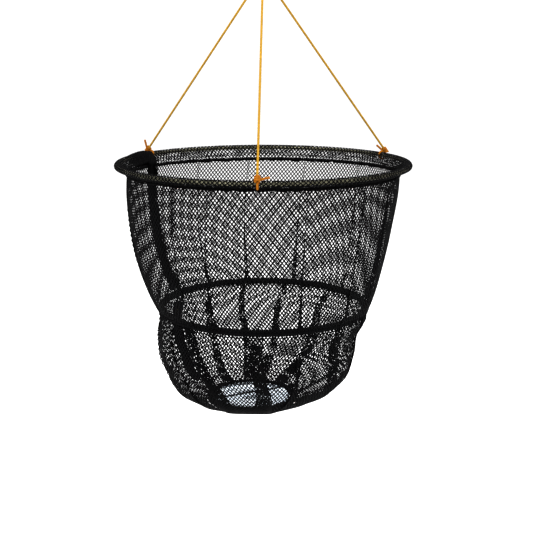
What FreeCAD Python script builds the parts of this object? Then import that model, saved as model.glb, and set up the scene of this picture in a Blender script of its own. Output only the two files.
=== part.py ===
import FreeCAD, Part
import math
import os

# Folding crab trap, hung open from its bridle. Millimetres, +Z up.
# Shapes are built with the top hoop's plane at height 0, then moved so that the
# bearing point of the hanging loop is the origin and everything is below it.
V = FreeCAD.Vector
UP = V(0, 0, 1)
AXIS = V(0, 0, 0)

# Bridle: three legs from an apex knot to the top hoop, and a loop above
CORD_R = 1.1
BRIDLE_RISE = 188.0             # top hoop's plane up to the middle of the apex knot
APEX_WRAPS = 4
APEX_WRAP_R = 3.6
APEX_PITCH = 2.2
APEX_HALF = (APEX_WRAPS - 1) * APEX_PITCH / 2.0 + CORD_R
LOOP_HEIGHT = 17.0              # apex knot's top up to the bearing point
LOOP_EYE_R = 4.4                # inside radius of the loop where a line bears
LEG_START_R = 2.6               # each leg leaves the apex knot this far off the axis
LEG_START_DROP = 0.9            # and this far under it, clear of the tilted end's edge
HOOP_Z = -(LOOP_HEIGHT + APEX_HALF + BRIDLE_RISE)

# Ties of the legs on the top hoop
TIE_AZIMUTHS = {"front": -1.8, "left": -123.5, "right": 119.5}
TIE_WRAPS = 3
TIE_WRAP_R = 2.0
TIE_PITCH = 1.9
TIE_HALF = (TIE_WRAPS - 1) * TIE_PITCH / 2.0 + CORD_R
TIE_OUT = 4.2                   # tie's middle, outwards of the hoop wire
TIE_UP = 5.2                    # tie's middle, above the hoop wire
TIE_GAP = 0.3                   # between the loop and the netting that it goes round
TIE_HOLE_R = 2.5                # opened mesh that the loop goes through
TIE_HOLE_OUT = 4.4              # that mesh's middle, from the hoop wire's
TAIL_LENGTH = 10.5
TAIL_DIRECTIONS = {"front": V(1, 0, 0.12), "left": V(-0.3, -0.2, 1), "right": V(-1, 0.6, 0.55)}

# Top hoop, its hem and the seam that closes the hem
TOP_HOOP_R = 146.6
WIRE_R = 2.0
FERRULE_R = 2.65
FERRULE_ARC = 10.0              # degrees of hoop that the ferrule covers
FERRULE_AZIMUTH = -75.0
HEM_OUT_R = 3.5
HEM_IN_R = 2.8
HEM_TIP_R = 138.3               # where the hem's two layers come together
HEM_TIP_Z = -6.4
HEM_TIP_OUT = 1.4
HEM_TIP_IN = 0.5
SEAM_RING_R = 136.6
SEAM_Z = -9.2
SEAM_R = 1.7

# Netting walls, half a millimetre of thread each side of these
NET_HALF = 0.45
# Upper wall: (height, radius)
UPPER_WALL = ((-11.3, 137.4), (-31.0, 137.2), (-56.0, 134.3), (-81.0, 130.3),
              (-106.0, 124.3), (-132.0, 116.2), (-146.2, 110.2))
# Bag below the middle hoop: (height, centre x, radius)
LOWER_WALL = ((-154.2, 0.0, 107.0), (-164.0, -2.4, 106.0), (-178.0, -6.0, 103.5),
              (-191.0, -6.2, 102.6), (-204.0, -6.2, 99.8), (-217.0, -5.8, 94.3),
              (-227.0, -7.6, 88.4), (-235.0, -10.0, 80.5), (-242.0, -12.0, 69.5),
              (-247.2, -12.0, 57.5), (-250.2, -12.0, 48.1))
FLAP_WIDTH = 9.0                # seam allowance, standing inwards from the wall
FLAP_HALF = 0.9
FLAP_GAP = 0.2
FLAP_AZIMUTH = -116.0
UPPER_FLAP_BOTTOM = -143.6
LOWER_FLAP_BOTTOM = -241.0

# Middle hoop, its sleeve and the stitches under it
MIDDLE_HOOP_R = 106.0
MIDDLE_Z = -148.0
SLEEVE_OUT_R = 3.6
SLEEVE_IN_R = 2.3
STITCH_RING_R = 107.3
STITCH_Z = -152.8
STITCH_R = 0.5

# Base dish, the netting gathered round it and the bait elastic across it
BASE_X = -12.0
BASE_Y = 0.0
DISH_TOP_R = 40.0
DISH_FOOT_R = 38.5
DISH_TOP_Z = -246.5
DISH_UNDER_Z = -252.2
DISH_WALL = 1.4
BASE_HEM_RING_R = 43.9
BASE_HEM_R = 3.2
BASE_HEM_Z = -248.2
ELASTIC_R = 0.9
ELASTIC_AZIMUTH = 117.0
ELASTIC_KNOT_R = 2.4
ELASTIC_HALF = 48.5             # dish's centre to the middle of an end knot

TOUCH_GAP = 0.1                 # between pieces of one body
MOVE_GAP = 0.3                  # between pieces that move apart


def radial(azimuth):
    """Unit vector at an azimuth counted from the front, -Y, towards +X."""
    a = math.radians(azimuth)
    return V(math.sin(a), -math.cos(a), 0)


def ring(ring_r, tube_r, z, x=0.0, y=0.0):
    return Part.makeTorus(ring_r, tube_r, V(x, y, z), UP)


def rod(start, end, r):
    d = end.sub(start)
    return Part.makeCylinder(r, d.Length, start, d)


def turned(shape, azimuth):
    """Turn a shape built at +X round the trap's axis to its azimuth."""
    copy = shape.copy()
    copy.rotate(AXIS, UP, azimuth - 90.0)
    return copy


def hull_outline(x1, z1, r1, x2, z2, r2):
    """Closed wire in the XZ plane that wraps two circles."""
    c1 = V(x1, 0, z1)
    c2 = V(x2, 0, z2)
    d = c2.sub(c1)
    base = math.atan2(d.z, d.x)
    lean = math.acos((r1 - r2) / d.Length)
    n = []
    for side in (1, -1):
        a = base + side * lean
        n.append(V(math.cos(a), 0, math.sin(a)))
    along = V(d).normalize()
    edges = [Part.makeLine(c1.add(n[0] * r1), c2.add(n[0] * r2)),
             Part.Arc(c2.add(n[0] * r2), c2.add(along * r2), c2.add(n[1] * r2)).toShape(),
             Part.makeLine(c2.add(n[1] * r2), c1.add(n[1] * r1)),
             Part.Arc(c1.add(n[1] * r1), c1.sub(along * r1), c1.add(n[0] * r1)).toShape()]
    return Part.Wire(edges)


def cord_loop(outline, r):
    """Round cord along a closed wire."""
    first = outline.Edges[0]
    at = first.valueAt(first.FirstParameter)
    along = first.tangentAt(first.FirstParameter)
    section = Part.Wire([Part.makeCircle(r, at, along)])
    return outline.makePipeShell([section], True, False)


def knot(centre, axis, wraps, wrap_r, pitch):
    """Turns of cord stacked along an axis round a solid core."""
    half = (wraps - 1) * pitch / 2.0
    section = Part.Face(Part.makePolygon([V(0, 0, -half), V(wrap_r, 0, -half),
                                          V(wrap_r, 0, half), V(0, 0, half), V(0, 0, -half)]))
    for i in range(wraps):
        turn = Part.makeCircle(CORD_R, V(wrap_r, 0, i * pitch - half), V(0, 1, 0))
        section = section.fuse(Part.Face(Part.Wire([turn])))
    solid = section.removeSplitter().Faces[0].revolve(AXIS, UP, 360)
    solid.Placement = FreeCAD.Placement(centre, FreeCAD.Rotation(UP, axis))
    return solid


def revolved_wall(profile, offset):
    """Solid inside a profile of (height, radius), moved out by offset."""
    points = [V(r + offset, 0, z) for z, r in profile]
    curve = Part.BSplineCurve()
    curve.interpolate(points)
    top = V(0, 0, points[0].z)
    bottom = V(0, 0, points[-1].z)
    edges = [Part.makeLine(top, points[0]), curve.toShape(),
             Part.makeLine(points[-1], bottom), Part.makeLine(bottom, top)]
    return Part.Face(Part.Wire(edges)).revolve(AXIS, UP, 360)


def lofted_wall(sections, offset):
    """Solid through level circles of (height, centre x, radius), moved out by offset."""
    circles = []
    for z, x, r in sections:
        circles.append(Part.Wire([Part.makeCircle(r + offset, V(x, 0, z), UP)]))
    return Part.makeLoft(circles, True, False)


def flap(inner_face, free_edge, bottom):
    """Seam allowance between a wall's inner face and its own free edge."""
    slab = Part.makeBox(200.0, 2 * FLAP_HALF, -bottom, V(0, -FLAP_HALF, bottom))
    return turned(slab, FLAP_AZIMUTH).common(inner_face).cut(free_edge)


def tie_loop(name, r):
    """Cord once round the hoop, through the meshes of the hem beside it."""
    loop = Part.makeTorus(HEM_OUT_R + TIE_GAP + CORD_R, r, V(TOP_HOOP_R, 0, 0), V(0, 1, 0))
    return turned(loop, TIE_AZIMUTHS[name])


def tie_hole(name):
    """Mesh of the hem that a tie's loop passes through."""
    web = V(HEM_TIP_R - TOP_HOOP_R, 0, HEM_TIP_Z).normalize()
    across = V(web.z, 0, -web.x)
    middle = V(TOP_HOOP_R, 0, 0).add(web * TIE_HOLE_OUT)
    hole = Part.makeCylinder(TIE_HOLE_R, 12.0, middle.sub(across * 6.0), across)
    return turned(hole, TIE_AZIMUTHS[name])


def tie_centre(name):
    centre = radial(TIE_AZIMUTHS[name]) * (TOP_HOOP_R + TIE_OUT)
    centre.z = TIE_UP
    return centre


def leg_start(name):
    start = radial(TIE_AZIMUTHS[name]) * LEG_START_R
    start.z = BRIDLE_RISE - APEX_HALF - LEG_START_DROP
    return start


def ring_tie(name):
    """Loop round the hoop, knot and tail of one leg."""
    centre = tie_centre(name)
    wraps = knot(centre, leg_start(name).sub(centre), TIE_WRAPS, TIE_WRAP_R, TIE_PITCH)
    tip = centre.add(V(TAIL_DIRECTIONS[name]).normalize() * TAIL_LENGTH)
    tail = rod(centre, tip, CORD_R)
    end = Part.makeSphere(CORD_R * 1.2, tip)
    return tie_loop(name, CORD_R).multiFuse([wraps, tail, end])


def bridle_leg(name):
    start = leg_start(name)
    run = tie_centre(name).sub(start)
    end = start.add(V(run).normalize() * (run.Length - TIE_HALF - MOVE_GAP))
    return rod(start, end, CORD_R)


def revolve_between(outer, inner):
    """Ring whose section lies between two closed outlines in the XZ plane."""
    face = Part.Face(outer).cut(Part.Face(inner))
    return face.revolve(AXIS, UP, 360)


parts = {}

# Bridle
apex = V(0, 0, BRIDLE_RISE)
parts["apex_knot"] = knot(apex, UP, APEX_WRAPS, APEX_WRAP_R, APEX_PITCH)
eye_z = BRIDLE_RISE + APEX_HALF + LOOP_HEIGHT - LOOP_EYE_R
eye = hull_outline(0, eye_z, LOOP_EYE_R + CORD_R, 0, BRIDLE_RISE, CORD_R * 1.1)
parts["hanging_loop"] = cord_loop(eye, CORD_R).cut(parts["apex_knot"])
for name in TIE_AZIMUTHS:
    parts["bridle_cord_" + name] = bridle_leg(name)
    parts["ring_knot_" + name] = ring_tie(name)

# Top hoop and its hem
parts["top_hoop"] = ring(TOP_HOOP_R, WIRE_R, 0)
joint_out = Part.Face(Part.Wire([Part.makeCircle(FERRULE_R, V(TOP_HOOP_R, 0, 0), V(0, 1, 0))]))
ferrule = joint_out.revolve(AXIS, UP, FERRULE_ARC)
ferrule = turned(ferrule, FERRULE_AZIMUTH)
parts["top_hoop_ferrule"] = ferrule.cut(ring(TOP_HOOP_R, WIRE_R + 0.02, 0))
hem_out = hull_outline(TOP_HOOP_R, 0, HEM_OUT_R, HEM_TIP_R, HEM_TIP_Z, HEM_TIP_OUT)
hem_in = hull_outline(TOP_HOOP_R, 0, HEM_IN_R, HEM_TIP_R, HEM_TIP_Z, HEM_TIP_IN)
top_hem = revolve_between(hem_out, hem_in)
for name in TIE_AZIMUTHS:
    top_hem = top_hem.cut(tie_hole(name))
parts["top_hem"] = top_hem
parts["top_hem_seam"] = ring(SEAM_RING_R, SEAM_R, SEAM_Z)

# Upper wall
upper_inside = revolved_wall(UPPER_WALL, -NET_HALF)
parts["upper_net"] = revolved_wall(UPPER_WALL, NET_HALF).cut(upper_inside)
parts["upper_side_seam"] = flap(revolved_wall(UPPER_WALL, -NET_HALF - FLAP_GAP),
                                revolved_wall(UPPER_WALL, -NET_HALF - FLAP_GAP - FLAP_WIDTH),
                                UPPER_FLAP_BOTTOM)

# Middle hoop
parts["middle_hoop"] = ring(MIDDLE_HOOP_R, WIRE_R, MIDDLE_Z)
parts["middle_sleeve"] = ring(MIDDLE_HOOP_R, SLEEVE_OUT_R, MIDDLE_Z).cut(
    ring(MIDDLE_HOOP_R, SLEEVE_IN_R, MIDDLE_Z))
parts["middle_sleeve_stitch"] = ring(STITCH_RING_R, STITCH_R, STITCH_Z)

# Bag
lower_inside = lofted_wall(LOWER_WALL, -NET_HALF)
parts["lower_net"] = lofted_wall(LOWER_WALL, NET_HALF).cut(lower_inside)
parts["lower_side_seam"] = flap(lofted_wall(LOWER_WALL, -NET_HALF - FLAP_GAP),
                                lofted_wall(LOWER_WALL, -NET_HALF - FLAP_GAP - FLAP_WIDTH),
                                LOWER_FLAP_BOTTOM)

# Base
dish_depth = DISH_TOP_Z - DISH_UNDER_Z
foot = V(BASE_X, BASE_Y, DISH_UNDER_Z)
floor = V(BASE_X, BASE_Y, DISH_UNDER_Z + DISH_WALL)
dish = Part.makeCone(DISH_FOOT_R, DISH_TOP_R, dish_depth, foot, UP)
hollow = Part.makeCone(DISH_FOOT_R - DISH_WALL, DISH_TOP_R - DISH_WALL, dish_depth, floor, UP)
parts["base_dish"] = dish.cut(hollow)
parts["base_hem"] = ring(BASE_HEM_RING_R, BASE_HEM_R, BASE_HEM_Z, BASE_X, BASE_Y)
elastic_z = BASE_HEM_Z + BASE_HEM_R + ELASTIC_R + TOUCH_GAP
middle = V(BASE_X, BASE_Y, elastic_z)
across = radial(ELASTIC_AZIMUTH)
stop = ELASTIC_HALF - ELASTIC_KNOT_R - TOUCH_GAP
parts["bait_elastic"] = rod(middle.sub(across * stop), middle.add(across * stop), ELASTIC_R)
parts["bait_elastic_knot_left"] = Part.makeSphere(ELASTIC_KNOT_R, middle.sub(across * ELASTIC_HALF))
parts["bait_elastic_knot_right"] = Part.makeSphere(ELASTIC_KNOT_R, middle.add(across * ELASTIC_HALF))

os.makedirs("parts", exist_ok=True)
for node, shape in parts.items():
    placed = shape.copy()
    placed.translate(V(0, 0, HOOP_Z))
    placed.exportStep("parts/" + node + ".step")
    print(node, len(placed.Solids), placed.isValid(), round(placed.Volume, 1),
          [round(b, 1) for b in (placed.BoundBox.XMin, placed.BoundBox.YMin, placed.BoundBox.ZMin,
                                 placed.BoundBox.XMax, placed.BoundBox.YMax, placed.BoundBox.ZMax)])
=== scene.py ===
import math

import bpy
import numpy as np
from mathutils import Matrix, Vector


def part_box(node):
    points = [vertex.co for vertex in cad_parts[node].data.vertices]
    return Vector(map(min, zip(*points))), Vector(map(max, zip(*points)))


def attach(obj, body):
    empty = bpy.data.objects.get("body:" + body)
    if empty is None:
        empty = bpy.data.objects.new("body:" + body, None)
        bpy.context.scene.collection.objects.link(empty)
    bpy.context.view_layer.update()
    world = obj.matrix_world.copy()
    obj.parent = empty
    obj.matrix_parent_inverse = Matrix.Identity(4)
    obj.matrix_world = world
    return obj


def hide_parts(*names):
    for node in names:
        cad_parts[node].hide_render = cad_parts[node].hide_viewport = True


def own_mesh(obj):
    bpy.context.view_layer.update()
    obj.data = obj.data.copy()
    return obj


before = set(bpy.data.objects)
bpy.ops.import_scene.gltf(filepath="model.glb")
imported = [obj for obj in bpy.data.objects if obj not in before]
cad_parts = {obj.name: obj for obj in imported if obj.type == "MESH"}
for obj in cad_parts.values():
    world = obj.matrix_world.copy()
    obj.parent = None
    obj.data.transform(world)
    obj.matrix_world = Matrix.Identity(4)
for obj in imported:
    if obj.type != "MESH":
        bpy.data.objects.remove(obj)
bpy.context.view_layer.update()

MM = 0.001
TURN = 2 * math.pi

# ---------------------------------------------------------------- sizes, from the frame
top_lo, top_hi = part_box("top_hoop")
mid_lo, mid_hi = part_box("middle_hoop")
seam_lo, seam_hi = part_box("top_hem_seam")
sleeve_lo, sleeve_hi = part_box("middle_sleeve")
stitch_lo, stitch_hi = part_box("middle_sleeve_stitch")
dish_lo, dish_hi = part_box("base_dish")
roll_lo, roll_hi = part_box("base_hem")
apex_lo, apex_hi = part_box("apex_knot")
hem_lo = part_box("top_hem")[0]

WIRE_R = (top_hi.z - top_lo.z) / 2
HOOP_Z = (top_hi.z + top_lo.z) / 2
HOOP_R = top_hi.x - WIRE_R
MIDDLE_Z = (mid_hi.z + mid_lo.z) / 2
MIDDLE_R = mid_hi.x - WIRE_R
SLEEVE_R = (sleeve_hi.z - sleeve_lo.z) / 2
SEAM_R = (seam_hi.z - seam_lo.z) / 2
SEAM_Z = (seam_hi.z + seam_lo.z) / 2
SEAM_RING = seam_hi.x - SEAM_R
STITCH_Z = (stitch_hi.z + stitch_lo.z) / 2
STITCH_RING = stitch_hi.x - (stitch_hi.z - stitch_lo.z) / 2
APEX_Z = (apex_hi.z + apex_lo.z) / 2
BASE_X = (dish_hi.x + dish_lo.x) / 2
BASE_Y = (dish_hi.y + dish_lo.y) / 2
ROLL_R = (roll_hi.z - roll_lo.z) / 2
ROLL_Z = (roll_hi.z + roll_lo.z) / 2
ROLL_RING = (roll_hi.x - roll_lo.x) / 2 - ROLL_R

CELLS = 215                     # meshes round the trap
HALF_ROW = 2.55 * MM            # half a mesh's height
THREAD_W = 0.50 * MM            # half the width of a flat thread of the netting
THREAD_T = 0.17 * MM            # half its thickness
KNOT_SHIFT = 0.17               # threads stand this far apart where they meet, in mesh halves
KNOT_RUN = 0.14                 # half the length of a meeting, in half rows
NET_HALF = 0.45 * MM            # half the CAD wall's thickness
CORD_R = 1.1 * MM
SIDE_SEAM = -116.0              # azimuth of the side seam, degrees from the front
SEAM_SWAY = 2.8 * MM            # hem's seam sits this much higher in front, lower behind


# ---------------------------------------------------------------- materials
def new_material(name):
    material = bpy.data.materials.new(name)
    material.use_nodes = True
    return material, material.node_tree.nodes, material.node_tree.links


def noise(nodes, links, scale, detail=3.0):
    coordinates = nodes.new("ShaderNodeTexCoord")
    texture = nodes.new("ShaderNodeTexNoise")
    texture.inputs["Scale"].default_value = scale
    texture.inputs["Detail"].default_value = detail
    links.new(coordinates.outputs["Object"], texture.inputs["Vector"])
    return texture


def ramp(nodes, links, source, stops):
    node = nodes.new("ShaderNodeValToRGB")
    elements = node.color_ramp.elements
    while len(elements) < len(stops):
        elements.new(0.5)
    for element, (place, colour) in zip(elements, stops):
        element.position = place
        element.color = (*colour, 1.0)
    links.new(source, node.inputs["Fac"])
    return node


def add_bump(nodes, links, source, shader, strength, distance):
    bump = nodes.new("ShaderNodeBump")
    bump.inputs["Strength"].default_value = strength
    bump.inputs["Distance"].default_value = distance
    links.new(source, bump.inputs["Height"])
    links.new(bump.outputs["Normal"], shader.inputs["Normal"])


def fabric(name, dark, light, scale, roughness, bump_scale):
    material, nodes, links = new_material(name)
    shader = nodes["Principled BSDF"]
    shader.inputs["Roughness"].default_value = roughness
    shader.inputs["Specular IOR Level"].default_value = 0.06
    patches = noise(nodes, links, scale)
    colour = ramp(nodes, links, patches.outputs["Fac"], ((0.3, dark), (0.7, light)))
    links.new(colour.outputs["Color"], shader.inputs["Base Color"])
    grain = noise(nodes, links, bump_scale, 2.0)
    add_bump(nodes, links, grain.outputs["Fac"], shader, 0.5, 0.1 * MM)
    return material


def wire_metal(name):
    material, nodes, links = new_material(name)
    shader = nodes["Principled BSDF"]
    shader.inputs["Metallic"].default_value = 1.0
    scratches = noise(nodes, links, 900.0, 4.0)
    colour = ramp(nodes, links, scratches.outputs["Fac"],
                  ((0.3, (0.12, 0.115, 0.075)), (0.7, (0.27, 0.26, 0.19))))
    rough = ramp(nodes, links, scratches.outputs["Fac"],
                 ((0.2, (0.32, 0.32, 0.32)), (0.8, (0.5, 0.5, 0.5))))
    links.new(colour.outputs["Color"], shader.inputs["Base Color"])
    links.new(rough.outputs["Color"], shader.inputs["Roughness"])
    add_bump(nodes, links, scratches.outputs["Fac"], shader, 0.2, 0.05 * MM)
    return material


def clear_plastic(name):
    material, nodes, links = new_material(name)
    shader = nodes["Principled BSDF"]
    shader.inputs["Transmission Weight"].default_value = 0.92
    shader.inputs["IOR"].default_value = 1.46
    haze = noise(nodes, links, 90.0)
    colour = ramp(nodes, links, haze.outputs["Fac"],
                  ((0.3, (0.80, 0.89, 0.98)), (0.7, (0.90, 0.95, 1.0))))
    rough = ramp(nodes, links, haze.outputs["Fac"],
                 ((0.3, (0.08, 0.08, 0.08)), (0.7, (0.16, 0.16, 0.16))))
    links.new(colour.outputs["Color"], shader.inputs["Base Color"])
    links.new(rough.outputs["Color"], shader.inputs["Roughness"])
    return material


NET = fabric("net_thread", (0.0016, 0.0016, 0.0019), (0.004, 0.004, 0.0045), 60.0, 0.8, 6000.0)
# Netting bunched in layers gets a darker copy of the thread's black: painted shade between the layers.
SHADED_BUNCH = fabric("bunched_net_painted_shade", (0.0013, 0.0013, 0.0016), (0.0035, 0.0035, 0.004), 150.0, 0.8, 3000.0)
AMBER = fabric("amber_cord", (0.33, 0.19, 0.022), (0.43, 0.26, 0.032), 400.0, 0.6, 5000.0)
# Knots, ties and apex turns get a darker, more orange copy of the cord's amber: painted shade where the
# cord's turns crowd together.
SHADED_AMBER = fabric("amber_knot_painted_shade", (0.24, 0.08, 0.006), (0.38, 0.155, 0.012), 500.0, 0.6, 5000.0)
COVERED = fabric("elastic_cover", (0.003, 0.003, 0.0035), (0.007, 0.007, 0.008), 300.0, 0.7, 5000.0)
WIRE = wire_metal("hoop_wire_finish")
CLEAR = clear_plastic("clear_dish_finish")


# ---------------------------------------------------------------- mesh building
def build(name, body, material, verts, quads):
    """A mesh object from arrays of points and four-cornered faces, riding on a body."""
    mesh = bpy.data.meshes.new(name)
    mesh.vertices.add(len(verts))
    mesh.vertices.foreach_set("co", np.asarray(verts, np.float32).ravel())
    mesh.loops.add(quads.size)
    mesh.loops.foreach_set("vertex_index", quads.astype(np.int32).ravel())
    mesh.polygons.add(len(quads))
    mesh.polygons.foreach_set("loop_start", np.arange(0, quads.size, 4, dtype=np.int32))
    mesh.polygons.foreach_set("use_smooth", np.ones(len(quads), bool))
    mesh.update(calc_edges=True)
    mesh.materials.append(material)
    obj = bpy.data.objects.new(name, mesh)
    bpy.context.scene.collection.objects.link(obj)
    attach(obj, body)
    return obj


def join(parts):
    """Several (points, faces) pairs as one."""
    verts, quads, start = [], [], 0
    for v, q in parts:
        verts.append(v)
        quads.append(q + start)
        start += len(v)
    return np.concatenate(verts), np.concatenate(quads)


def normalised(v):
    return v / np.maximum(np.linalg.norm(v, axis=-1, keepdims=True), 1e-12)


def rings_to_tubes(rings, closed=False):
    """Closed tubes from rings of points: an array of tubes, rings, corners, xyz."""
    tubes, count, sides, _ = rings.shape
    index = np.arange(tubes * count * sides).reshape(tubes, count, sides)
    a = index if closed else index[:, :-1]
    b = np.roll(index, -1, axis=1) if closed else index[:, 1:]
    quads = np.stack([b, np.roll(b, -1, axis=2), np.roll(a, -1, axis=2), a], axis=-1)
    faces = [quads.reshape(-1, 4)]
    if not closed:
        for end, flip in ((index[:, 0], True), (index[:, -1], False)):
            for i in range(1, sides - 2, 2):
                cap = np.stack([end[:, 0], end[:, i], end[:, i + 1], end[:, i + 2]], axis=-1)
                faces.append(cap if flip else cap[:, ::-1])
    return rings.reshape(-1, 3), np.concatenate(faces)


def ribbons(points, normals, half_width, half_thick, closed=False, square=False):
    """Four-sided threads along many paths that lie on a surface with these normals."""
    if closed:
        along = np.roll(points, -1, axis=1) - np.roll(points, 1, axis=1)
    else:
        along = np.gradient(points, axis=1)
    along = normalised(along)
    across = normalised(np.cross(along, normals))
    up = np.cross(across, along)
    if square:
        corners = ((1, 1), (-1, 1), (-1, -1), (1, -1))
    else:
        corners = ((1, 0), (0, 1), (-1, 0), (0, -1))
    rings = np.stack([points + across * half_width * a + up * half_thick * b
                      for a, b in corners], axis=2)
    return rings_to_tubes(rings, closed)


def resample(path, step):
    """Points evenly spaced along a path."""
    path = np.asarray(path, float)
    lengths = np.concatenate([[0], np.cumsum(np.linalg.norm(np.diff(path, axis=0), axis=1))])
    count = max(3, int(round(lengths[-1] / step)) + 1)
    at = np.linspace(0, lengths[-1], count)
    return np.stack([np.interp(at, lengths, path[:, i]) for i in range(3)], axis=1)


def frames(path):
    """Tangent and two steady cross directions at each point of a path."""
    along = normalised(np.gradient(path, axis=0))
    side = np.zeros_like(path)
    start = np.cross(along[0], (0.0, 0.0, 1.0))
    if np.linalg.norm(start) < 0.1:
        start = np.cross(along[0], (1.0, 0.0, 0.0))
    side[0] = start / np.linalg.norm(start)
    for i in range(1, len(path)):
        flat = side[i - 1] - along[i] * np.dot(side[i - 1], along[i])
        side[i] = flat / np.linalg.norm(flat)
    return along, side, np.cross(along, side)


def round_tube(path, radius, sides=12):
    """Plain round tube along one path."""
    _, side, other = frames(path)
    turn = -TURN * np.arange(sides) / sides
    rings = (path[:, None] + radius * (side[:, None] * np.cos(turn)[None, :, None]
                                       + other[:, None] * np.sin(turn)[None, :, None]))
    return rings_to_tubes(rings[None])


BRAID_PITCH = 7.0 * MM
BRAID_STEP = 0.45 * MM


def braid(route, radius, threads=4):
    """Round braided cord: threads laid both ways over and under each other, on a core."""
    path = resample(route, BRAID_STEP)
    _, side, other = frames(path)
    thread = radius * 0.36
    middle = radius - thread
    run = np.linspace(0, 1, len(path)) * (len(path) - 1) * BRAID_STEP
    parts = [round_tube(path, radius * 0.72, 8)]
    for way in (1, -1):
        start = np.arange(threads)[:, None] * TURN / threads
        turn = way * TURN * run[None] / BRAID_PITCH + start
        lift = 1 + way * 0.16 * np.cos(threads * turn)
        out = side[None] * np.cos(turn)[..., None] + other[None] * np.sin(turn)[..., None]
        points = path[None] + out * (middle * lift)[..., None]
        parts.append(ribbons(points, out, thread * 1.25, thread))
    return join(parts)


def azimuth_vector(degrees):
    a = math.radians(degrees)
    return np.array((math.sin(a), -math.cos(a), 0.0))


# ---------------------------------------------------------------- netting
RING_GAP = 0.3 * MM             # vertices of one ring of a CAD wall lie within this height
RING_POINTS = 60                # a ring with fewer vertices than this isn't a whole one
WALL_LEVELS = 140
WALL_SMOOTHINGS = 12


def wall_profile(node, radius_in):
    """Height, centre x and mid-wall radius down a CAD wall, from its rings of vertices."""
    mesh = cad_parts[node].data
    co = np.empty(len(mesh.vertices) * 3, np.float32)
    mesh.vertices.foreach_get("co", co)
    co = co.reshape(-1, 3).astype(float)
    co = co[np.argsort(-co[:, 2])]
    rows = []
    for ring in np.split(co, np.where(np.diff(co[:, 2]) < -RING_GAP)[0] + 1)[::-1]:
        lo, hi = ring[:, 0].min(), ring[:, 0].max()
        radius = (hi - lo) / 2 - radius_in
        if not rows or len(ring) >= RING_POINTS and radius > rows[-1][2] - MM:
            rows.append((ring[:, 2].mean(), (hi + lo) / 2, radius))
    rows = np.array(rows[::-1])
    levels = np.linspace(rows[0, 0], rows[-1, 0], WALL_LEVELS)
    rows = np.stack([np.interp(-levels, -rows[:, 0], rows[:, i]) for i in range(3)], 1)
    for _ in range(WALL_SMOOTHINGS):
        rows[1:-1, 1:] = (rows[:-2, 1:] + 2 * rows[1:-1, 1:] + rows[2:, 1:]) / 4
    step = np.diff(rows, axis=0)
    length = np.concatenate([[0], np.cumsum(np.hypot(step[:, 0], step[:, 2]))])
    return rows, length


PLEAT_SOFT = 0.5 * MM           # cloth over which a pleat's fold turns
PLEAT_FULL = 3 * MM             # a pleat with more cloth than this stands to its full height


class Wall:
    """A netting wall: a surface of revolution with pleats that take up its spare cloth.

    squeeze is the share of the spare cloth that goes into pleats, and the rest narrows the
    meshes. depth is the height of its waves, sway how far its middle swings along X, and lift
    how far its top is raised in front. ends are the ways, out and up, that it runs on past its
    top and its end.
    """

    def __init__(self, node, pleats, squeeze, depth, sway, lift, ends):
        self.rows, self.length = wall_profile(node, NET_HALF)
        self.total = self.length[-1]
        self.pleats = pleats
        self.squeeze = squeeze
        self.depth = depth
        self.sway = sway
        self.lift = lift
        self.ends = ends
        self.share = np.array([p[2] for p in pleats])
        self.share = self.share / self.share.sum()

    def point(self, s, t):
        """Where the cloth at fraction s round and t down lies."""
        run = np.clip(t, 0, 1) * self.total
        z = np.interp(run, self.length, self.rows[:, 0])
        x = np.interp(run, self.length, self.rows[:, 1])
        r = np.interp(run, self.length, self.rows[:, 2])
        over = np.maximum(t - 1, 0) * self.total
        under = np.maximum(-t, 0) * self.total
        z = z + under * self.ends[0][1] + over * self.ends[1][1]
        r = r + under * self.ends[0][0] + over * self.ends[1][0]
        full = TURN * CLOTH_R
        fit = np.minimum(TURN * r / full, 1.0)
        spare = (1 - fit) * self.squeeze
        kept = 1 - spare
        soft = PLEAT_SOFT / full
        used = np.zeros_like(s)
        lift = np.zeros_like(s)
        before = np.zeros_like(s)
        for (top, bottom, _, way, thick), share in zip(self.pleats, self.share):
            place = (top + (bottom - top) * np.clip(t, 0, 1) - SIDE_SEAM) / 360.0 % 1.0
            back = spare * share / 2
            at = kept * place + before + spare * share / 2
            before = before + spare * share
            x0 = (s - at + back / 2) / soft
            x1 = (s - at - back / 2) / soft
            used += soft * (np.logaddexp(0, x0) - np.logaddexp(0, x1))
            u = (s - at) / np.maximum(back / 2, 2 * soft)
            height = np.minimum(back * full / PLEAT_FULL, 1.0) * thick * MM
            lift += -way * height * u * np.exp((1 - u * u) / 2)
        turn = (s - 2 * used) / kept
        angle = np.radians(SIDE_SEAM) + TURN * turn
        r = r + lift + self.depth * self.waves(angle, np.clip(t, 0, 1))
        x = x + self.sway * np.sin(math.pi * np.clip(t, 0, 1))
        z = z + self.lift * np.cos(angle) * (1 - np.clip(t, 0, 1)) ** 3
        return np.stack([x + r * np.sin(angle), -r * np.cos(angle), z], axis=-1)

    def waves(self, angle, t):
        """Gentle hollows and bulges, nil at both ends."""
        swell = (np.sin(5 * angle + 1.3) + 0.7 * np.sin(9 * angle + 4.1 + 2 * t)
                 + 0.5 * np.sin(14 * angle + 0.4 - 3 * t) + 0.35 * np.sin(23 * angle + 2.2))
        return swell * np.sin(math.pi * t) ** 0.8


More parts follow.
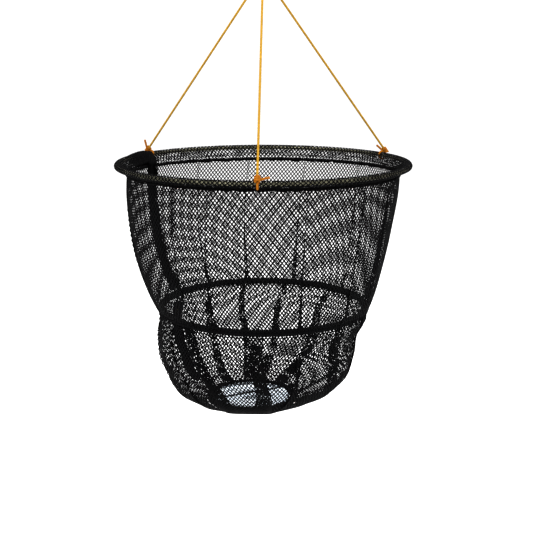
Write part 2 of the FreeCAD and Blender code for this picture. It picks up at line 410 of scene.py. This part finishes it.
def lattice(surface, first, last, half_rows, length, rows_from=0, rows_to=None):
    """Knotless netting: zigzag threads first to last that meet their neighbours in turn."""
    thread = np.arange(first, last)[:, None]
    rows_to = half_rows if rows_to is None else rows_to
    row = np.arange(rows_from, rows_to + 1)
    right = (thread + row[None]) % 2
    column = thread + right + np.where(right == 1, -KNOT_SHIFT, KNOT_SHIFT)
    column = np.repeat(column, 2, axis=1)
    rows = np.repeat(row[None].astype(float), 2, axis=1) + np.tile([-KNOT_RUN, KNOT_RUN],
                                                                        len(row))[None]
    s = column / (2.0 * CELLS)
    t = np.broadcast_to(rows / half_rows, s.shape)
    step = 0.2 * MM
    points = surface(s, t)
    round_s = surface(s + step / (TURN * CLOTH_R), t) - surface(s - step / (TURN * CLOTH_R), t)
    down_t = surface(s, t + step / length) - surface(s, t - step / length)
    normals = normalised(np.cross(down_t, round_s))
    return ribbons(points, normals, THREAD_W, THREAD_T, square=True)


wall_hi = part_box("upper_net")[1]
FULLNESS = 1.03                 # cloth round the top of the wall, against the wall's own girth
CLOTH_R = (wall_hi.x - NET_HALF) * FULLNESS

# Pleats: azimuth at the top and at the bottom, share of the spare cloth, which way the
# fold lies, and how far its layers stand apart in millimetres
UPPER_PLEATS = ((-76, -72, 1.4, 1, 1.3), (-37, -38, 0.8, 1, 1.0), (-21, -24, 0.6, -1, 1.0),
                (17, 18, 0.6, 1, 1.0), (43, 45, 1.4, -1, 1.2), (60, 62, 1.8, 1, 1.4),
                (100, 102, 0.7, -1, 1.0), (131, 128, 0.9, 1, 1.2), (160, 162, 0.8, -1, 1.0),
                (187, 190, 0.8, 1, 1.0), (212, 214, 0.9, -1, 1.2))
LOWER_PLEATS = ((-78, -76, 0.6, -1, 1.6), (-58, -39, 1.1, 1, 1.8), (-42, -7, 2.2, -1, 2.0),
                (-3, 10, 2.6, 1, 2.0), (24, 21, 1.4, -1, 1.8), (44, 57, 2.0, 1, 1.8),
                (68, 80, 1.2, -1, 1.6), (104, 108, 0.8, 1, 1.6), (139, 147, 1.6, -1, 1.6),
                (167, 171, 1.7, 1, 1.8), (193, 182, 1.7, -1, 1.8), (214, 208, 1.2, 1, 1.6))

upper = Wall("upper_net", UPPER_PLEATS, 0.75, 0.4 * MM, -2.8 * MM, SEAM_SWAY,
             ((0.0, 1.0), (-0.6, -0.8)))
lower = Wall("lower_net", LOWER_PLEATS, 0.80, 0.8 * MM, 0.0, 0.0, ((0.2, 1.0), (-0.9, -0.3)))


def net_panels(name, body, surface, panels, node, over_top, over_end):
    """A wall of netting in panels, each small enough to keep whole, hung from a hoop."""
    half_rows = int(round(surface.total / HALF_ROW))
    threads = 2 * CELLS
    for i in range(panels):
        first, last = i * threads // panels, (i + 1) * threads // panels
        verts, quads = lattice(surface.point, first, last, half_rows, surface.total,
                               -over_top, half_rows + over_end)
        obj = build(f"{name}_{i + 1}", body, NET, verts, quads)
        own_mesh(obj)
    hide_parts(node)


net_panels("upper_netting", "top_frame", upper, 3, "upper_net",
           0, 0)
net_panels("lower_netting", "middle_frame", lower, 3, "lower_net",
           1, 0)


# ---------------------------------------------------------------- hem over the top hoop
HEM_SKIN = 3.15 * MM            # hem's mid-thickness, from the wire's middle
TIP_SKIN = 1.0 * MM
TIP_BACK = 8.3 * MM             # the hem's tip, inwards of the wire and under it
TIP_DOWN = HOOP_Z - hem_lo.z - 1.4 * MM


def hem_outline(extra):
    """Radius and height round the hem's section, from the seam outside to the seam inside."""
    wire = np.array((HOOP_R, HOOP_Z))
    tip = wire - (TIP_BACK, TIP_DOWN)
    along = normalised(wire - tip)
    out = np.array((along[1], -along[0]))
    points = [tip + out * (TIP_SKIN + extra) - along * 1.6 * MM]
    start = math.atan2(out[1], out[0])
    for i in range(19):
        a = start + math.pi * i / 18
        points.append(wire + (HEM_SKIN + extra) * np.array((math.cos(a), math.sin(a))))
    points.append(tip - out * (TIP_SKIN + extra) - along * 1.6 * MM)
    points = np.array(points)
    length = np.concatenate([[0], np.cumsum(np.linalg.norm(np.diff(points, axis=0), axis=1))])
    return points, length


def hem_surface(extra=0.0):
    """The hem's cloth, or a layer of it that lies further out."""
    points, length = hem_outline(extra)

    def surface(s, t):
        run = np.clip(t, 0, 1) * length[-1]
        r = np.interp(run, length, points[:, 0])
        z = np.interp(run, length, points[:, 1])
        angle = np.radians(SIDE_SEAM) + TURN * (s + 0.0006 * np.sin(40 * TURN * s + 9 * t))
        down = np.clip((HOOP_Z - z) / (TIP_DOWN + 2 * MM), 0, 1)
        slack = np.sin(math.pi * np.clip(2 * t - 1.1, 0, 0.9) / 0.9)
        r = r - slack * (0.35 * MM * (1 + np.sin(31 * angle) * np.sin(12 * angle + 1)))
        z = z + SEAM_SWAY * np.cos(angle) * down
        return np.stack([r * np.sin(angle), -r * np.cos(angle), z], axis=-1)
    return surface, length[-1]


def hem_cloth(extra, first, last):
    surface, length = hem_surface(extra)
    return lattice(surface, first, last, int(round(length / HALF_ROW)), length)


verts, quads = hem_cloth(0.0, 0, 2 * CELLS)
hem = build("top_hem_netting", "top_frame", NET, verts, quads)
hem_surface()[1]
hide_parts("top_hem")

# Where the side seam runs into the hem its cloth is bunched in many layers
BUNCH_LAYERS = 6
verts, quads = join([hem_cloth((0.35 + 0.33 * i) * MM, -8 + i, 12 - 2 * i)
                     for i in range(BUNCH_LAYERS)])
build("top_hem_bunch", "top_frame", SHADED_BUNCH, verts, quads)


# ---------------------------------------------------------------- bunched netting and stitches
CENTRE = (0.0, 0.0)
BASE = (BASE_X, BASE_Y)
RING_STEPS = 720
GOLDEN_ANGLE = 2.399963


def ring_bundle(centre, ring_r, z, radius, threads, thread_r, twist, seed, lift=0.0):
    """Threads bunched into a roll round a ring, wandering through each other."""
    rng = np.random.default_rng(seed)
    turn = np.linspace(0, TURN, RING_STEPS, endpoint=False)
    z = z + lift * np.cos(turn)
    place = np.sqrt(np.linspace(0.02, 1, threads)) * radius
    phase = np.arange(threads) * GOLDEN_ANGLE
    paths = []
    for k in range(threads):
        wobble = sum(rng.uniform(0.05, 0.14) * np.sin(n * turn + rng.uniform(0, TURN))
                     for n in (7, 17, 41, 83))
        spin = phase[k] + twist * turn + 3 * wobble
        out = place[k] * (1 + wobble)
        r = ring_r + out * np.cos(spin)
        h = z + out * np.sin(spin)
        paths.append(np.stack([centre[0] + r * np.sin(turn), centre[1] - r * np.cos(turn), h], 1))
    points = np.array(paths)
    middle = np.stack([centre[0] + ring_r * np.sin(turn), centre[1] - ring_r * np.cos(turn),
                       z + 0 * turn], 1)
    normals = normalised(points - middle[None] + 1e-7)
    return ribbons(points, normals, thread_r, thread_r, True)


def ring_whip(centre, ring_r, z, radius, turns, thread_r, seed, lift=0.0):
    """Thread whipped round a roll, one turn to each stitch."""
    rng = np.random.default_rng(seed)
    steps = turns * 14
    turn = np.linspace(0, TURN, steps, endpoint=False)
    spin = turns * turn + 0.25 * np.sin(3 * turn)
    z = z + lift * np.cos(turn)
    out = radius * (1 + 0.05 * np.sin(turns * 0.37 * turn + rng.uniform(0, TURN)))
    r = ring_r + out * np.cos(spin)
    points = np.stack([centre[0] + r * np.sin(turn), centre[1] - r * np.cos(turn),
                       z + out * np.sin(spin)], 1)
    middle = np.stack([centre[0] + ring_r * np.sin(turn), centre[1] - ring_r * np.cos(turn),
                       z + 0 * turn], 1)
    return ribbons(points[None], normalised(points - middle)[None], thread_r, thread_r, True)


verts, quads = join([
    ring_bundle(CENTRE, SEAM_RING, SEAM_Z, SEAM_R * 0.95, 12, 0.55 * MM, 25, 3, SEAM_SWAY),
    ring_whip(CENTRE, SEAM_RING, SEAM_Z, SEAM_R * 1.05, CELLS, 0.3 * MM, 4, SEAM_SWAY)])
seam = build("top_seam_roll", "top_frame", SHADED_BUNCH, verts, quads)
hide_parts("top_hem_seam")

verts, quads = join([
    ring_bundle(BASE, ROLL_RING, ROLL_Z, ROLL_R * 0.92, 34, 0.62 * MM, 9, 5),
    ring_whip(BASE, ROLL_RING, ROLL_Z, ROLL_R * 0.98, 72, 0.35 * MM, 6)])
roll = build("base_gathered_roll", "base", SHADED_BUNCH, verts, quads)
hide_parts("base_hem")


def torus_skin(centre, ring_r, z, radius, steps, sides, uneven, seed):
    """Round sleeve with slight lumps."""
    rng = np.random.default_rng(seed)
    turn = np.linspace(0, TURN, steps, endpoint=False)[:, None]
    spin = -TURN * np.arange(sides)[None] / sides
    lumps = sum(rng.uniform(0.3, 1) * np.sin(n * turn + m * spin + rng.uniform(0, TURN))
                for n, m in ((11, 1), (23, 2), (47, 1), (90, 3)))
    out = radius * (1 + uneven * lumps)
    r = ring_r + out * np.cos(spin)
    rings = np.stack([centre[0] + r * np.sin(turn), centre[1] - r * np.cos(turn),
                      z + out * np.sin(spin)], -1)
    return rings_to_tubes(rings[None], True)


verts, quads = join([
    torus_skin(CENTRE, MIDDLE_R, MIDDLE_Z, SLEEVE_R * 0.94, RING_STEPS, 14, 0.012, 8),
    ring_whip(CENTRE, MIDDLE_R, MIDDLE_Z, SLEEVE_R * 0.97, 260, 0.28 * MM, 9)])
sleeve = build("middle_sleeve_wrap", "middle_frame", SHADED_BUNCH, verts, quads)
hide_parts("middle_sleeve")


def stitch_line():
    """Short slanting stitches in a row under the sleeve."""
    stitches = 240
    turn = np.arange(stitches) * TURN / stitches
    half = 0.32 * TURN / stitches
    side = np.linspace(-1, 1, 5)
    angle = turn[:, None] + side[None] * half
    r = STITCH_RING + 0.35 * MM * (1 - side[None] ** 2) + 0 * angle
    z = STITCH_Z + 0.5 * MM * side[None] + 0 * angle
    points = np.stack([r * np.sin(angle), -r * np.cos(angle), z], -1)
    normals = np.stack([np.sin(angle), -np.cos(angle), 0 * angle], -1)
    return ribbons(points, normals, 0.32 * MM, 0.3 * MM)


verts, quads = join([
    stitch_line(),
    ring_bundle(CENTRE, STITCH_RING - 0.2 * MM, STITCH_Z, 0.35 * MM, 3, 0.25 * MM, 120, 10)])
stitches = build("middle_stitches", "middle_frame", SHADED_BUNCH, verts, quads)
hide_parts("middle_sleeve_stitch")


# ---------------------------------------------------------------- side seams
FLAP_WIDTH = 9.0 * MM
FLAP_LAYERS = 9
FLAP_FAN = 1.1                  # how far its layers spread, as a share of their width
FLAP_SPACING = 0.32 * MM        # between layers at the wall
FLAP_STRANDS = 7


def flap_netting(wall, t0, t1, seed):
    """Layers of netting gathered into the seam allowance that stands inwards."""
    rng = np.random.default_rng(seed)
    inwards = -azimuth_vector(SIDE_SEAM)
    across = np.array((-inwards[1], inwards[0], 0.0))
    parts = []
    rows = int(round((t1 - t0) * wall.total / HALF_ROW))
    for layer in range(FLAP_LAYERS):
        shift = rng.uniform(0, 1)
        apart = (layer - (FLAP_LAYERS - 1) / 2) * FLAP_SPACING
        thread = np.arange(FLAP_STRANDS)[:, None]
        row = np.arange(rows + 1)
        right = (thread + row[None] + layer) % 2
        column = (thread + right + np.where(right == 1, -KNOT_SHIFT, KNOT_SHIFT)) / (FLAP_STRANDS + 0.5)
        t = t0 + (t1 - t0) * np.clip((row[None] + shift) / (rows + 1), 0, 1)
        t = np.broadcast_to(t, column.shape)
        foot = wall.point(np.zeros_like(t), t)
        reach = FLAP_WIDTH * (0.06 + 0.94 * column) * (1 + 0.05 * np.sin(21 * t + layer))
        fan = (layer - (FLAP_LAYERS - 1) / 2) / FLAP_LAYERS * FLAP_FAN
        sway = apart + reach * fan + 0.5 * MM * np.sin(13 * t + 1.7) * column
        points = foot + inwards * reach[..., None] + across * sway[..., None]
        normals = np.broadcast_to(across, points.shape)
        parts.append(ribbons(points, normals, THREAD_W * 1.1, THREAD_T))
    return join(parts)


def side_seam(name, body, wall, t0, t1, node, seed):
    """A wall's seam allowance, laid inwards level with its foot on the wall."""
    verts, quads = flap_netting(wall, t0, t1, seed)
    obj = build(name, body, SHADED_BUNCH, verts, quads)
    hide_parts(node)
    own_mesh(obj)


side_seam("upper_seam_flap", "top_frame", upper, -0.055, 0.98, "upper_side_seam",
          12)
side_seam("lower_seam_flap", "middle_frame", lower, 0.01, 0.78, "lower_side_seam",
          13)


# ---------------------------------------------------------------- bridle
TIE_AZIMUTHS = {"front": -1.8, "left": -123.5, "right": 119.5}
TIE_OUT = 4.2 * MM              # tie's middle, outwards of the hoop wire
TIE_UP = 5.2 * MM               # tie's middle, above the hoop wire


def tie_centre(name):
    """Middle of a leg's tie, where the CAD has it."""
    azimuth = TIE_AZIMUTHS[name]
    centre = azimuth_vector(azimuth) * (HOOP_R + TIE_OUT)
    centre[2] = HOOP_Z + TIE_UP
    return azimuth, centre


def nurbs_path(points):
    """Points read from a smooth spline through given control points."""
    curve = bpy.data.curves.new("route", "CURVE")
    curve.dimensions = "3D"
    spline = curve.splines.new("NURBS")
    spline.points.add(len(points) - 1)
    for knot_point, co in zip(spline.points, points):
        knot_point.co = (*co, 1.0)
    spline.order_u = 3
    spline.use_endpoint_u = True
    spline.resolution_u = 16
    obj = bpy.data.objects.new("route", curve)
    mesh = bpy.data.meshes.new_from_object(obj)
    co = np.array([v.co[:] for v in mesh.vertices])
    bpy.data.objects.remove(obj)
    bpy.data.meshes.remove(mesh)
    return co


TAIL_DIRECTIONS = {"front": (1, 0, 0.12), "left": (-0.3, -0.2, 1), "right": (-1, 0.6, 0.55)}
TAIL_LENGTH = 10.5 * MM
LEG_START_R = 2.6 * MM
LEG_START_DROP = 0.9 * MM
KNOT_R = 2.0 * MM


def leg_start(azimuth):
    start = azimuth_vector(azimuth) * LEG_START_R
    start[2] = apex_lo.z - LEG_START_DROP
    return start


def turned_round(centre, axis, radius, pitch, turns, lean=0.0, start=0.0, step=24):
    """Turns of cord round an axis."""
    axis = normalised(np.asarray(axis, float))
    side = normalised(np.cross(axis, (0.3, 0.9, 0.2)))
    other = np.cross(axis, side)
    a = start + np.linspace(0, TURN * turns, int(step * turns) + 1)
    along = (a - start) / TURN * pitch - turns * pitch / 2 + lean * np.sin(a)
    return (centre + axis * along[:, None]
            + radius * (side * np.cos(a)[:, None] + other * np.sin(a)[:, None]))


def hoop_loop(azimuth):
    """Cord once round the hoop, through the meshes of the hem beside it."""
    turn = np.linspace(0, TURN, 40)
    reach = (4.0 + 0.9 * np.cos(turn - 0.2)) * MM
    out = azimuth_vector(azimuth)
    points = out * (HOOP_R + reach * np.cos(turn))[:, None]
    points[:, 2] += HOOP_Z + reach * np.sin(turn)
    return points


def bridle_leg(name):
    azimuth, centre = tie_centre(name)
    start = leg_start(azimuth)
    along = normalised(centre - start)
    end = centre - along * 1.2 * MM
    near = 6 * 2 * CORD_R
    route = [start + along * -1.5 * MM, start + along * near, end - along * near, end]
    path = nurbs_path(route)
    verts, quads = braid(path, CORD_R)
    obj = build(f"bridle_leg_{name}", "bridle", AMBER, verts, quads)
    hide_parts(f"bridle_cord_{name}")
    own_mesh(obj)


def ring_tie(name):
    azimuth, centre = tie_centre(name)
    axis = leg_start(azimuth) - centre
    tail_way = normalised(np.array(TAIL_DIRECTIONS[name], float))
    side = normalised(np.cross(axis, tail_way))
    tail = [centre + side * 1.2 * MM, centre + tail_way * 3 * MM + side * 1.6 * MM,
            centre + tail_way * 7 * MM + side * 0.6 * MM, centre + tail_way * TAIL_LENGTH]
    over = [centre + side * 2.4 * MM - axis / np.linalg.norm(axis) * 3.2 * MM,
            centre + tail_way * 2.6 * MM + side * 1.5 * MM,
            centre - side * 1.6 * MM + tail_way * 1.8 * MM + normalised(axis) * 2.4 * MM,
            centre - tail_way * 2.4 * MM + normalised(axis) * 1.2 * MM,
            centre - tail_way * 1.8 * MM - side * 1.4 * MM - normalised(axis) * 2.6 * MM]
    verts, quads = join([
        braid(hoop_loop(azimuth), CORD_R),
        braid(turned_round(centre, axis, KNOT_R * 0.92, 1.9 * MM, 2.6, 0.3 * MM), CORD_R),
        braid(nurbs_path(over), CORD_R * 0.95),
        braid(nurbs_path(tail), CORD_R),
        end_blob(centre + tail_way * TAIL_LENGTH, tail_way)])
    # The tie is given the darker knot amber, which is painted shade.
    obj = build(f"ring_tie_{name}", "top_frame", SHADED_AMBER, verts, quads)
    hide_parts(f"ring_knot_{name}")


def end_blob(at, way):
    """Melted end of a cut cord."""
    t = np.linspace(0, math.pi, 7)
    points = at + way * (-np.cos(t) * 0.7 * MM)[:, None]
    _, side, other = frames(np.array([at, at + way * MM, at + 2 * way * MM]))
    spin = -TURN * np.arange(8) / 8
    radius = np.maximum(np.sin(t), 0.15) * CORD_R * 1.08
    rings = points[:, None] + radius[:, None, None] * (
        side[0] * np.cos(spin)[:, None] + other[0] * np.sin(spin)[:, None])[None]
    return rings_to_tubes(rings[None])


for leg in TIE_AZIMUTHS:
    bridle_leg(leg)
    ring_tie(leg)

apex = np.array((0.0, 0.0, APEX_Z))
loop_lo, loop_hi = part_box("hanging_loop")


def hanging_loop():
    """Loop above the apex knot, its two sides running down into the knot."""
    top_r = (loop_hi.x - loop_lo.x) / 2 - CORD_R
    eye = loop_hi.z - CORD_R - top_r
    a = np.linspace(-0.2, math.pi + 0.2, 24)
    head = [(top_r * math.cos(x), 0, eye + top_r * math.sin(x)) for x in a]
    foot_right = [(0.9 * MM, 0, APEX_Z - MM), (1.6 * MM, 0, apex_hi.z + MM)]
    foot_left = [(-1.6 * MM, 0, apex_hi.z + MM), (-0.9 * MM, 0, APEX_Z - MM)]
    return np.array(foot_right + head + foot_left)


verts, quads = braid(hanging_loop(), CORD_R)
loop = build("hanging_loop_cord", "bridle", AMBER, verts, quads)
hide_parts("hanging_loop")
verts, quads = join([
    braid(turned_round(apex, (0, 0, 1), 3.4 * MM, 2.1 * MM, 3.2, 0.4 * MM), CORD_R),
    braid(turned_round(apex, (0.1, 0.05, 1), 1.5 * MM, 2.2 * MM, 3.0), CORD_R),
    braid(nurbs_path([apex + np.array(p) * MM for p in
                      ((3.6, 0, -3), (4.2, -3, -1), (1, -5, 1), (-3.4, -3, 2), (-3, 1, 3.4))]),
          CORD_R)])
# The apex turns are given the darker knot amber, which is painted shade.
knot = build("apex_turns", "bridle", SHADED_AMBER, verts, quads)
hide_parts("apex_knot")


# ---------------------------------------------------------------- base dish and bait elastic
DISH_WALL = 1.4 * MM
DISH_FLARE = 1.5 * MM           # rim's radius, over the foot's
DISH_STEPS = 96


def dish_mesh():
    """Moulded dish: a flat floor with rings pressed in it, a sloping wall and a rolled rim."""
    top = (dish_hi.x - dish_lo.x) / 2
    foot = top - DISH_FLARE
    low, high, wall = dish_lo.z, dish_hi.z, DISH_WALL
    inside = [(0.02 * MM, low + wall), (8 * MM, low + wall), (9 * MM, low + wall + 0.5 * MM),
              (10 * MM, low + wall), (24 * MM, low + wall), (25 * MM, low + wall + 0.5 * MM),
              (26 * MM, low + wall), (foot - 3.4 * MM, low + wall), (foot - 2 * MM, low + 2 * wall),
              (top - 2.2 * MM, high - 1.3 * MM), (top - 1.6 * MM, high - 0.2 * MM)]
    outside = [(top - 0.9 * MM, high), (top - 0.15 * MM, high - 0.6 * MM),
               (top - 0.3 * MM, high - 1.6 * MM), (foot, low + 1.4 * MM),
               (foot - 0.5 * MM, low + 0.3 * MM), (foot - 1.4 * MM, low), (26 * MM, low),
               (12 * MM, low), (0.02 * MM, low)]
    section = np.array(inside + outside)
    turn = np.linspace(0, TURN, DISH_STEPS, endpoint=False)
    rings = np.stack([BASE_X + section[None, :, 0] * np.cos(turn)[:, None],
                      BASE_Y + section[None, :, 0] * np.sin(turn)[:, None],
                      np.broadcast_to(section[None, :, 1], (DISH_STEPS, len(section)))], -1)
    return rings_to_tubes(rings[None], True)


verts, quads = dish_mesh()
dish = build("base_dish_moulding", "base", CLEAR, verts, quads[:, ::-1])
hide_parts("base_dish")

el_lo, el_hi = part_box("bait_elastic")
left_lo, left_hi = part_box("bait_elastic_knot_left")
right_lo, right_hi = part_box("bait_elastic_knot_right")
left_end = np.array((left_lo + left_hi) / 2)
right_end = np.array((right_lo + right_hi) / 2)
elastic_path = np.linspace(left_end, right_end, 40)
verts, quads = braid(elastic_path, (el_hi.z - el_lo.z) / 2, 5)
elastic = build("bait_elastic_cord", "base", COVERED, verts, quads)
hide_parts("bait_elastic")
for name, at in (("left", left_end), ("right", right_end)):
    verts, quads = join([
        braid(turned_round(at, right_end - left_end, 1.35 * MM, 1.5 * MM, 2.2, 0.2 * MM), 0.9 * MM),
        braid(turned_round(at, (0.2, 0.3, 1), 1.3 * MM, 0.9 * MM, 1.2), 0.9 * MM)])
    piece = build(f"elastic_end_{name}", "base", COVERED, verts, quads)
    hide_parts(f"bait_elastic_knot_{name}")

for node in ("top_hoop", "top_hoop_ferrule", "middle_hoop"):
    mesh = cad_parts[node].data
    mesh.materials.clear()
    mesh.materials.append(WIRE)


# ---------------------------------------------------------------- stage, light and camera
FLOOR_DROP = 0.16
FLOOR_SIZE = 24


def floor():
    material, nodes, links = new_material("floor_white")
    shader = nodes["Principled BSDF"]
    shader.inputs["Base Color"].default_value = (0.93, 0.93, 0.93, 1)
    shader.inputs["Roughness"].default_value = 0.9
    bpy.ops.mesh.primitive_plane_add(size=FLOOR_SIZE, location=(0, 0, dish_lo.z - FLOOR_DROP))
    plane = bpy.context.object
    plane.name = "floor"
    plane.data.materials.append(material)


def area_light(name, place, target, size, power):
    light = bpy.data.lights.new(name, "AREA")
    light.size = size
    light.energy = power
    obj = bpy.data.objects.new(name, light)
    obj.location = place
    way = np.array(target) - np.array(place)
    obj.rotation_euler = Vector(way).to_track_quat("-Z", "Y").to_euler()
    bpy.context.scene.collection.objects.link(obj)


floor()
HOOP_CENTRE = (0, 0, HOOP_Z)
area_light("key", (-0.9, -1.0, 0.9), HOOP_CENTRE, 1.0, 26)
area_light("fill", (1.2, -0.7, 0.3), HOOP_CENTRE, 1.2, 12)
area_light("top", (0.0, 0.2, 1.6), HOOP_CENTRE, 2.0, 40)
world = bpy.data.worlds.new("studio")
world.use_nodes = True
world.node_tree.nodes["Background"].inputs["Color"].default_value = (1, 1, 1, 1)
world.node_tree.nodes["Background"].inputs["Strength"].default_value = 1.12
bpy.context.scene.world = world
bpy.context.scene.view_settings.view_transform = "Standard"
bpy.context.scene.view_settings.gamma = 0.8

CAMERA_BACK = 1.0552
CAMERA_UP = 0.13247
CAMERA_SIDE = 0.00329
CAMERA_DOWN = 12.79             # degrees below level
camera_data = bpy.data.cameras.new("camera")
camera_data.lens = 70.56
camera_data.sensor_width = 36.0
camera_data.clip_end = 60.0
camera = bpy.data.objects.new("camera", camera_data)
camera.location = (CAMERA_SIDE, -CAMERA_BACK, HOOP_Z + CAMERA_UP)
camera.rotation_euler = (math.radians(90 - CAMERA_DOWN), 0, 0)
bpy.context.scene.collection.objects.link(camera)
bpy.context.scene.camera = camera
